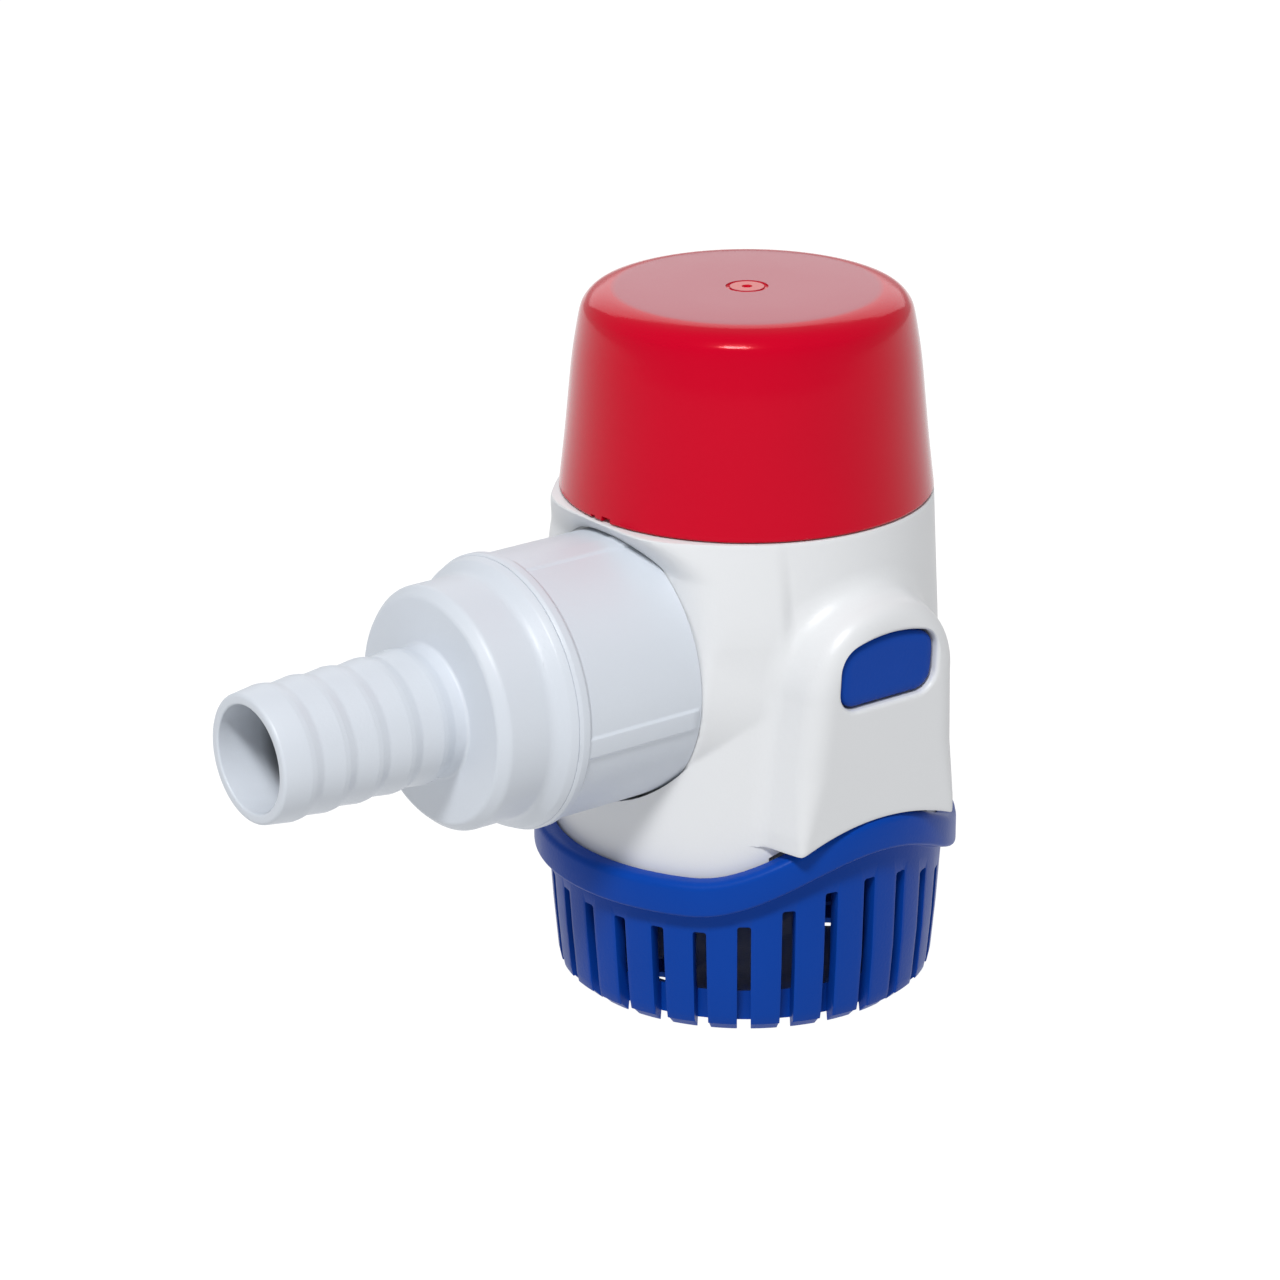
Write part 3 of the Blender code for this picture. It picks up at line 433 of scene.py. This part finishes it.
def body_wall():
    """The outer skin as a closed body, solid to its middle."""

    def angle_density(a):
        from_button = np.degrees(np.arctan2(np.abs(np.cos(a)), np.abs(np.sin(a))))
        pad_side = np.exp(-(((from_button - 26) / 6) ** 2))
        bulge = (np.cos(a) < 0) * np.exp(-(((from_button - 38) / 9) ** 2))
        return 1 + 3.5 * pad_side + 1.0 * bulge

    angles = spread(0, math.tau, 481, angle_density)[:-1]
    foot = pad_foot(angles)
    bottom = BODY_BOTTOM + WAVE_HEIGHT * wave(angles)
    layers = []
    for part in np.linspace(0, 1, 6):
        z = bottom + (foot - bottom) * part
        layers.append((outer_radius(angles, z, False), z))
    plain = layers[-1][0]
    for lift, inset in ((0.0, BODY_EDGE), (0.1, 0.1), (BODY_EDGE, 0.0)):
        z = foot + lift
        radius = outer_radius(angles, z, True)
        tuck = np.clip((radius - plain) / BODY_EDGE - 1, 0, 1) * inset
        layers.append((radius - tuck, z))

    def height_density(part):
        z = 34 + part * (BODY_TOP - 34)
        arch = np.exp(-(((z - 69) / 4.5) ** 2))
        return 1 + 1.6 * arch

    for part in spread(0, 1, 118, height_density)[1:]:
        z = foot + BODY_EDGE + (BODY_TOP - BODY_EDGE - foot - BODY_EDGE) * part
        layers.append((outer_radius(angles, z, True), z))
    top = layers[-1][0]
    for lift, inset in ((0.25, 0.1), (BODY_EDGE, BODY_EDGE)):
        layers.append((top - inset, np.full(angles.shape, BODY_TOP - BODY_EDGE + lift)))

    bm = bmesh.new()
    rows = []
    inside = np.full(angles.shape, 27.0)
    for radius, z in [(inside, bottom)] + layers:
        rows.append([bm.verts.new(p) for p in zip(radius * np.cos(angles), radius * np.sin(angles), z)])
    for low, high in zip(rows, rows[1:]):
        for k in range(len(low)):
            j = (k + 1) % len(low)
            bm.faces.new((low[k], low[j], high[j], high[k]))
    for row, z in ((rows[0], 34.0), (rows[-1], BODY_TOP)):
        middle = bm.verts.new((0, 0, z))
        for k in range(len(row)):
            bm.faces.new((row[k], row[(k + 1) % len(row)], middle))
    bmesh.ops.remove_doubles(bm, verts=bm.verts, dist=1e-4)
    return new_object("pump_housing", bm)


def pad_reliefs():
    """Wedges cut under the four lower corners of the pads."""
    cutters = []
    for side in (-1, 1):
        for end in (-1, 1):
            corners = []
            for degrees, low, high in ((22.0, 31.8, 33.8), (31.5, 30.0, 30.9)):
                a = math.radians(degrees)
                for z in (low, high):
                    corners.append((end * math.sin(a), side * math.cos(a), z))
            corners = [corners[0], corners[2], corners[3], corners[1]]
            rings = [[(r * x, r * y, z) for x, y, z in corners] for r in (28.0, 33.5)]
            cutters.append(lofted("relief", rings))
    return cutters


def button_openings():
    """The windows for the two buttons and the pockets that the tabs slide in."""
    flare = 0.7
    lip = [(-2.0, -flare)]
    for a in np.radians([0, 18, 36, 54, 72, 90]):
        lip.append((flare * (1 - math.cos(a)), flare * (math.sin(a) - 1)))
    lip.append((6.0, 0.0))
    pocket = [(-10.6, 15), (10.6, 15), (10.6, 64.5), (5.6, 69.5), (-5.6, 69.5), (-10.6, 64.5)]
    cutters = []
    for side in (-1, 1):
        cutters.append(lofted("pocket", [[(x, side * y, z) for x, z in pocket] for y in (26.0, 32.8)]))
        cutters.append(window_loft("window", side, lip))
    return cutters


def body():
    """The white housing: its skin, the outlet spigot and everything cut out of it."""
    obj = body_wall()
    face = OUTLET_FACE
    spigot = rounded([(0, 38.0, 0), (18.6, 38.0, 0.6), (18.6, face - 1, 0), (0, face - 1, 0)], 4)
    boolean(obj, [rod(22.04, face, 42, OUT, 160)])
    boolean(obj, [turned("spigot", spigot, 128, OUT)], "UNION")
    cavity = rod(28.3, 40, 80.2, steps=128)
    boolean(cavity, [box((-23.4, -24.4, 30), (40, 24.4, 90))], "INTERSECT")
    groove = turned("groove", [(22.6, 81.5), (24.2, 81.5), (24.2, 84), (22.6, 84)], 96)
    skirt = rod(29.2, 10, 37, steps=160)
    boolean(skirt, [box((-40, -40, 33), (-24.5, 40, 40))])
    outlet_bore = rod(13.5, 18, 41, OUT)
    chamber = rod(24.5, 36, 41)
    canister_mouth = rod(21.3, 79, 84)
    cutters = [skirt, cavity, outlet_bore, chamber, canister_mouth, groove]
    cutters += pad_reliefs() + button_openings()
    for degrees in CUP_SCREW_TURNS:
        turn = Matrix.Rotation(math.radians(degrees), 4, "Z")
        place = turn @ Matrix.Translation((CUP_SCREW_REACH, 0, 0))
        cutters.append(rod(CUP_SCREW_HOLE, 36, 39.2, place, 24))
    for cutter in cutters:
        boolean(obj, [cutter])
    soften(obj, 32)
    return obj


# Cap

def cap():
    """The motor cap: a tapered shell with a rounded shoulder, a ring on its top and two foot notches."""
    outside = [(0.0, CAP_TOP), (10.0, CAP_TOP)]
    outside += through(
        [
            (20.0, CAP_TOP),
            (21.8, 115.8),
            (23.3, 115.5),
            (24.65, 114.95),
            (25.7, 114.0),
            (26.5, 112.5),
            (27.2, 109.0),
            (28.0, 103.5),
            (29.1, 92.4),
            (30.0, 84.6),
            (30.12, 83.55),
        ],
        6,
    )
    outside += [(30.0, 83.3), (28.15, 83.3), (28.15, 85.3), (26.6, 85.3), (26.6, 92.0)]
    outside += [(25.6, 103.5), (24.9, 109.0), (23.4, 112.6), (22.0, 113.6), (0, 113.6)]
    obj = turned("cap_shell", outside, 192)
    ring = rounded([(2.8, 115.6, 0.1), (3.35, 115.6, 0.1), (3.5, 116.3, 0), (2.65, 116.3, 0)], 2)
    boolean(obj, [turned("ring", ring, 64)])
    dimple = [(0, 115.4), (0.7, 115.55), (1.0, 116.2), (0, 116.2)]
    boolean(obj, [turned("dimple", dimple, 32)])
    for degrees, half in ((4.5, 1.0), (-1.6, 0.5)):
        turn = Matrix.Rotation(math.radians(degrees), 4, "Z")
        boolean(obj, [box((-33, -half, 82), (-29, half, 83.4 + 0.7 * half), turn)])
    side = Matrix.Translation((0, 0, GLAND_Z)) @ Matrix.Rotation(math.radians(90), 4, "Y")
    boolean(obj, [rod(4.3, 22, 32, side, 64)])
    soften(obj, 32)
    return obj


def gland():
    """The rubber seal in the cap's side that the wires would leave through."""
    outline = rounded(
        [
            (2.0, 25.8, 0.2),
            (4.0, 25.8, 0.3),
            (4.0, 30.2, 0.1),
            (5.2, 30.2, 0.3),
            (5.2, 31.5, 0.4),
            (3.4, 32.2, 0.3),
            (2.0, 32.2, 0.2),
        ],
        3,
    )
    side = Matrix.Translation((0, 0, GLAND_Z)) @ Matrix.Rotation(math.radians(90), 4, "Y")
    return turned("wire_seal", outline, 64, side)


# Outlet

def collar():
    """The union collar with its front bead and four grip ribs."""
    outline = rounded(
        [
            (17.1, 49.7, 0.3),
            (21.95, 49.7, 0.1),
            (22.2, 49.1, 0.4),
            (22.2, 47.9, 0.4),
            (COLLAR_RADIUS, 47.2, 0.5),
            (COLLAR_RADIUS, 40.0, 0),
            (COLLAR_RADIUS, 32.0, 0),
            (COLLAR_RADIUS, 25.84, 0.25),
            (18.9, 25.84, 0.2),
            (18.9, 46.7, 0.3),
            (17.1, 46.7, 0.2),
        ],
        4,
    )
    dense = []
    for point, following in zip(outline, outline[1:] + outline[:1]):
        dense.append(point)
        if all(abs(end[0] - COLLAR_RADIUS) < 0.01 for end in (point, following)):
            for part in (0.03, 0.1, 0.3, 0.5, 0.7, 0.9, 0.97):
                dense.append((COLLAR_RADIUS, point[1] + (following[1] - point[1]) * part))
    ribs = np.radians(COLLAR_RIB_TURNS)

    def rib_angle(angle):
        away = np.abs((angle[..., None] - ribs + math.pi) % math.tau - math.pi)
        return away.min(axis=-1)

    def density(angle):
        return 1 + 7 * np.exp(-(((np.degrees(rib_angle(angle)) - 4.4) / 1.6) ** 2))

    angles = spread(0, math.tau, 361, density)[:-1]

    def add_ribs(angle, radius, height):
        across = rib_angle(angle) * COLLAR_RADIUS
        rib = np.clip((COLLAR_RIB_HALF_WIDTH - across) / 0.6, 0, 1)
        rib = rib * rib * (3 - 2 * rib)
        ends = np.clip((height - 26.2) / 0.4, 0, 1)
        outside = np.clip((radius - 21.0) / 0.3, 0, 1)
        lifted = np.maximum(radius, COLLAR_RADIUS + COLLAR_RIB_HEIGHT * rib * ends * outside)
        return np.where(outside > 0.9, lifted, radius), height

    return turned("union_collar", dense, angles=angles, shift=add_ribs, place=OUT)


def nozzle():
    """The hose barb, its stepped shoulder and the flange that the collar holds."""
    outline = [(BORE, 95.8, 0.35), (10.2, 95.8, 0.6)]
    for i in range(BARB_COUNT):
        crest = 91.2 - BARB_PITCH * i
        outline += [(10.82, crest, 0.9), (10.74, crest - 0.9, 0.8), (10.38, crest - 2.4, 2.0)]
    outline += [
        (10.6, 62.5, 0.6),
        (18.2, 62.5, 1.1),
        (19.6, 60.9, 1.5),
        (19.6, 53.0, 2.5),
        (21.4, 51.0, 1.2),
        (21.9, 49.75, 0.05),
        (16.8, 49.75, 0.2),
        (16.8, 46.4, 0.2),
        (18.6, 46.4, 0.2),
        (18.6, 42.9, 0.2),
        (15.3, 42.9, 0.2),
        (15.3, 58.0, 0.6),
        (BORE, 60.0, 0.6),
    ]
    return turned("hose_nozzle", rounded(outline, 5), 160, OUT)


# Inner pieces that show through the strainer or when the pump is lifted

def impeller_cup():
    """The pump chamber's cup, with three screw ears."""
    outline = rounded(
        [
            (22.6, 39.7, 0.2),
            (24.2, 39.7, 0.2),
            (24.2, 22.5, 1.2),
            (8.6, 22.5, 0.5),
            (8.0, 24.4, 0.5),
            (22.6, 24.4, 1.0),
        ],
        4,
    )
    obj = turned("impeller_cup", outline, 128)
    half = 2.2
    ear = [(23.4, -half)]
    for a in np.linspace(-math.pi / 2, math.pi / 2, 17):
        ear.append((CUP_SCREW_REACH + half * math.cos(a), half * math.sin(a)))
    ear.append((23.4, half))
    for degrees in CUP_SCREW_TURNS:
        turn = Matrix.Rotation(math.radians(degrees), 4, "Z")
        boolean(obj, [lofted("ear", [[(x, y, z) for x, y in ear] for z in (33.5, 36.7)], turn)], "UNION")
        place = turn @ Matrix.Translation((CUP_SCREW_REACH, 0, 0))
        boolean(obj, [rod(CUP_SCREW_HOLE, 32, 38, place, 24)])
    soften(obj)
    return obj


# Materials

def nearness(tree, where, centre, weights, near, far):
    """One within the near distance of a point, line or plane, falling to nothing at the far one."""
    offset = tree.nodes.new("ShaderNodeVectorMath")
    offset.operation = "SUBTRACT"
    offset.inputs[1].default_value = [c * MM for c in centre]
    tree.links.new(where.outputs["Object"], offset.inputs[0])
    weighted = tree.nodes.new("ShaderNodeVectorMath")
    weighted.operation = "MULTIPLY"
    weighted.inputs[1].default_value = weights
    tree.links.new(offset.outputs["Vector"], weighted.inputs[0])
    length = tree.nodes.new("ShaderNodeVectorMath")
    length.operation = "LENGTH"
    tree.links.new(weighted.outputs["Vector"], length.inputs[0])
    result = tree.nodes.new("ShaderNodeMapRange")
    result.inputs["From Min"].default_value = near * MM
    result.inputs["From Max"].default_value = far * MM
    result.inputs["To Min"].default_value = 1.0
    result.inputs["To Max"].default_value = 0.0
    tree.links.new(length.outputs["Value"], result.inputs["Value"])
    return result.outputs["Result"]


def add_zone(tree, where, tone, colour, *limits):
    """Gives the surface inside every one of the limits another colour, used for painted shade and for the
    thing's own marks.
    """
    inside = nearness(tree, where, *limits[0])
    for limit in limits[1:]:
        both = tree.nodes.new("ShaderNodeMath")
        both.operation = "MULTIPLY"
        tree.links.new(inside, both.inputs[0])
        tree.links.new(nearness(tree, where, *limit), both.inputs[1])
        inside = both.outputs["Value"]
    mixed = tree.nodes.new("ShaderNodeMix")
    mixed.data_type = "RGBA"
    mixed.inputs["B"].default_value = (*colour, 1)
    tree.links.new(inside, mixed.inputs["Factor"])
    tree.links.new(tone.outputs["Result"], mixed.inputs["A"])
    return mixed


def material(name, colour, roughness, metallic=0.0, specular=0.5, mottle=0.03, mottle_scale=70,
             grain=0.04, grain_scale=1800, rough_spread=0.05, tint=(1, 1, 1), zones=()):
    """A moulded or machined surface: slow colour drift, uneven gloss and a fine grain."""
    result = bpy.data.materials.new(name)
    result.use_nodes = True
    tree = result.node_tree
    nodes, links = tree.nodes, tree.links
    shader = nodes["Principled BSDF"]
    shader.inputs["Metallic"].default_value = metallic
    shader.inputs["Specular IOR Level"].default_value = specular
    shader.inputs["Specular Tint"].default_value = (*tint, 1)
    where = nodes.new("ShaderNodeTexCoord")

    drift = nodes.new("ShaderNodeTexNoise")
    drift.inputs["Scale"].default_value = mottle_scale
    drift.inputs["Detail"].default_value = 3
    links.new(where.outputs["Object"], drift.inputs["Vector"])
    tone = nodes.new("ShaderNodeMix")
    tone.data_type = "RGBA"
    tone.inputs["A"].default_value = (*[c * (1 - mottle) for c in colour], 1)
    tone.inputs["B"].default_value = (*[min(1.0, c * (1 + mottle)) for c in colour], 1)
    links.new(drift.outputs["Fac"], tone.inputs["Factor"])
    for zone in zones:
        tone = add_zone(tree, where, tone, *zone)
    links.new(tone.outputs["Result"], shader.inputs["Base Color"])

    gloss = nodes.new("ShaderNodeTexNoise")
    gloss.inputs["Scale"].default_value = mottle_scale * 4
    gloss.inputs["Detail"].default_value = 4
    links.new(where.outputs["Object"], gloss.inputs["Vector"])
    rough = nodes.new("ShaderNodeMapRange")
    rough.inputs["To Min"].default_value = max(0.02, roughness - rough_spread)
    rough.inputs["To Max"].default_value = min(1.0, roughness + rough_spread)
    links.new(gloss.outputs["Fac"], rough.inputs["Value"])
    links.new(rough.outputs["Result"], shader.inputs["Roughness"])

    fine = nodes.new("ShaderNodeTexNoise")
    fine.inputs["Scale"].default_value = grain_scale
    fine.inputs["Detail"].default_value = 2
    links.new(where.outputs["Object"], fine.inputs["Vector"])
    bump = nodes.new("ShaderNodeBump")
    bump.inputs["Strength"].default_value = grain
    bump.inputs["Distance"].default_value = 0.0003
    links.new(fine.outputs["Fac"], bump.inputs["Height"])
    links.new(bump.outputs["Normal"], shader.inputs["Normal"])
    return result


# Zones of another colour, each with the limits that it lies within: centre, weights, near and far.
ON_CAP_TOP = ((0, 0, CAP_TOP), (0, 0, 1), 0.03, 0.1)
IN_TOP_RING = ((0, 0, 0), (1, 1, 0), 2.6, 2.7)
IN_BORE = ((0, 0, OUTLET_Z), (0, 1, 1), BORE + 0.16, BORE + 0.36)
DEEP_IN_BORE = ((-70, 0, 0), (1, 0, 0), 15.0, 18.2)
# Painted shade: the cap's flat top is painted a darker red, standing in for the weaker light that falls on it
# from above. The small ring in its middle is the cap's own lighter red.
CAP_SHADE_AND_RING_ZONES = [((0.4, 0.05, 0.08), ON_CAP_TOP), ((0.6, 0.06, 0.05), ON_CAP_TOP, IN_TOP_RING)]
# Painted shade: deep inside the nozzle's bore the wall is painted near black, where little light reaches.
BORE_SHADE_ZONES = [((0.045, 0.04, 0.045), IN_BORE, DEEP_IN_BORE)]

MATERIALS = {
    "red_plastic": material("red_cap", (0.55, 0.0, 0.018), 0.14, specular=0.36, grain=0.03, rough_spread=0.03,
                            tint=(1, 0.25, 0.25), zones=CAP_SHADE_AND_RING_ZONES),
    "white_plastic": material("white_body", (0.73, 0.745, 0.765), 0.38, grain=0.05, mottle=0.008),
    "nozzle_plastic": material("cool_white", (0.635, 0.68, 0.745), 0.42, grain=0.08, mottle=0.012,
                               zones=BORE_SHADE_ZONES),
    "blue_plastic": material("blue_base", (0.002, 0.05, 0.35), 0.36, specular=0.1, grain=0.1, mottle=0.05,
                             tint=(0.6, 0.75, 1)),
    "black_plastic": material("black_inside", (0.009, 0.01, 0.011), 0.5, specular=0.3, grain=0.1),
    "rubber": material("rubber", (0.018, 0.018, 0.018), 0.7, grain=0.25, grain_scale=2600),
    "steel": material("steel", (0.5, 0.51, 0.53), 0.32, metallic=1.0, grain=0.1, grain_scale=3000),
    "brass": material("brass", (0.62, 0.42, 0.15), 0.3, metallic=1.0, grain=0.1, grain_scale=3000),
    "bronze": material("bronze", (0.36, 0.2, 0.09), 0.5, metallic=1.0, grain=0.3, grain_scale=4000),
    "copper": material("copper", (0.65, 0.25, 0.11), 0.35, metallic=1.0, grain=0.3, grain_scale=2500),
    "ferrite": material("ferrite", (0.05, 0.05, 0.055), 0.6, grain=0.2),
    "graphite": material("graphite", (0.03, 0.03, 0.033), 0.55, grain=0.2, grain_scale=5000),
}


def dress(obj, slot):
    """Gives an object its slot's material."""
    if obj.material_slots:
        for held in obj.material_slots:
            held.material = MATERIALS[slot]
    else:
        obj.data.materials.append(MATERIALS[slot])


def add_piece(obj, body_name, slot, *nodes):
    """Puts a finer piece in the place of its CAD nodes, on their body and in their slot."""
    obj.data.materials.clear()
    dress(obj, slot)
    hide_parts(*nodes)
    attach(obj, body_name)


add_piece(strainer(), "strainer", "blue_plastic", "strainer_base")
add_piece(lock_tab("button_front", -1), "front_tab", "blue_plastic", "lock_tab_front")
add_piece(lock_tab("button_rear", 1), "rear_tab", "blue_plastic", "lock_tab_rear")
add_piece(body(), "pump", "white_plastic", "pump_body")
add_piece(cap(), "pump", "red_plastic", "motor_cap")
add_piece(gland(), "pump", "rubber", "wire_gland")
add_piece(collar(), "collar", "nozzle_plastic", "outlet_collar")
add_piece(nozzle(), "nozzle", "nozzle_plastic", "outlet_nozzle")
add_piece(impeller_cup(), "pump", "black_plastic", "volute_cup")

for part in frame["record"]["subparts"]:
    node = frame["nodes"][part["node"]]
    dress(node, part["material_slot"])


# Stage, light and camera

def emitter(name, place, target, size, power, colour=(1, 1, 1)):
    """A soft box light at a place, turned to its target."""
    data = bpy.data.lights.new(name, "AREA")
    data.shape = "RECTANGLE"
    data.size, data.size_y = size
    data.energy = power
    data.color = colour
    light = bpy.data.objects.new(name, data)
    bpy.context.scene.collection.objects.link(light)
    light.location = place
    light.rotation_euler = (Vector(target) - Vector(place)).to_track_quat("-Z", "Y").to_euler()
    return light


def toward(azimuth, elevation, distance):
    """A point seen from the pump at this azimuth to the right of the camera's line."""
    a, e = math.radians(CAMERA_AZIMUTH + azimuth), math.radians(elevation)
    level = distance * math.cos(e)
    return (math.sin(a) * level, -math.cos(a) * level, distance * math.sin(e) + 0.06)


CAMERA_AZIMUTH = -38.53
CAMERA_DISTANCE = 0.700
CAMERA_HEIGHT = 0.3163
CAMERA_YAW = -0.02454
CAMERA_PITCH = 0.35584
CAMERA_ROLL = math.radians(-0.25)

turn = Matrix.Rotation(math.radians(CAMERA_AZIMUTH), 3, "Z")
ahead = turn @ Vector(
    (
        math.sin(CAMERA_YAW) * math.cos(CAMERA_PITCH),
        math.cos(CAMERA_YAW) * math.cos(CAMERA_PITCH),
        -math.sin(CAMERA_PITCH),
    )
)
camera_data = bpy.data.cameras.new("camera")
camera_data.lens = 129.0
camera_data.sensor_width = 36.0
camera_data.clip_start = 0.05
camera_data.clip_end = 20.0
camera = bpy.data.objects.new("camera", camera_data)
bpy.context.scene.collection.objects.link(camera)
camera.location = turn @ Vector((0, -CAMERA_DISTANCE, CAMERA_HEIGHT))
facing = ahead.to_track_quat("-Z", "Y").to_matrix() @ Matrix.Rotation(CAMERA_ROLL, 3, "Z")
camera.rotation_euler = facing.to_euler()
bpy.context.scene.camera = camera

bm = bmesh.new()
bmesh.ops.create_grid(bm, x_segments=1, y_segments=1, size=4.0)
floor_mesh = bpy.data.meshes.new("floor")
bm.to_mesh(floor_mesh)
bm.free()
floor = bpy.data.objects.new("floor", floor_mesh)
bpy.context.scene.collection.objects.link(floor)
floor.location = (0, 0, -0.0002)
floor.visible_diffuse = False
paper = bpy.data.materials.new("paper")
paper.use_nodes = True
shader = paper.node_tree.nodes["Principled BSDF"]
shader.inputs["Base Color"].default_value = (0.08, 0.08, 0.08, 1)
shader.inputs["Roughness"].default_value = 0.9
shader.inputs["Specular IOR Level"].default_value = 0.1
shader.inputs["Emission Color"].default_value = (1, 1, 1, 1)
shader.inputs["Emission Strength"].default_value = 1.0
floor_mesh.materials.append(paper)

world = bpy.data.worlds.new("studio")
world.use_nodes = True
background = world.node_tree.nodes["Background"]
background.inputs["Color"].default_value = (1, 1, 1, 1)
way = world.node_tree.nodes.new("ShaderNodeTexCoord")
split = world.node_tree.nodes.new("ShaderNodeSeparateXYZ")
level = world.node_tree.nodes.new("ShaderNodeMapRange")
level.inputs["From Min"].default_value = -0.3
level.inputs["From Max"].default_value = 0.4
level.inputs["To Min"].default_value = 0.74
level.inputs["To Max"].default_value = 0.36
world.node_tree.links.new(way.outputs["Generated"], split.inputs["Vector"])
world.node_tree.links.new(split.outputs["Z"], level.inputs["Value"])
world.node_tree.links.new(level.outputs["Result"], background.inputs["Strength"])
bpy.context.scene.world = world

middle = (0, 0, 0.06)
emitter("key", toward(-10, 50, 1.1), middle, (0.26, 0.15), 8.8)
emitter("back", toward(180, 28, 1.6), middle, (2.0, 0.9), 5.5, (0.95, 0.98, 1.0))

scene = bpy.context.scene
scene.view_settings.view_transform = "Standard"
scene.view_settings.look = "None"
scene.view_settings.exposure = 0.0
scene.view_settings.gamma = 1.0
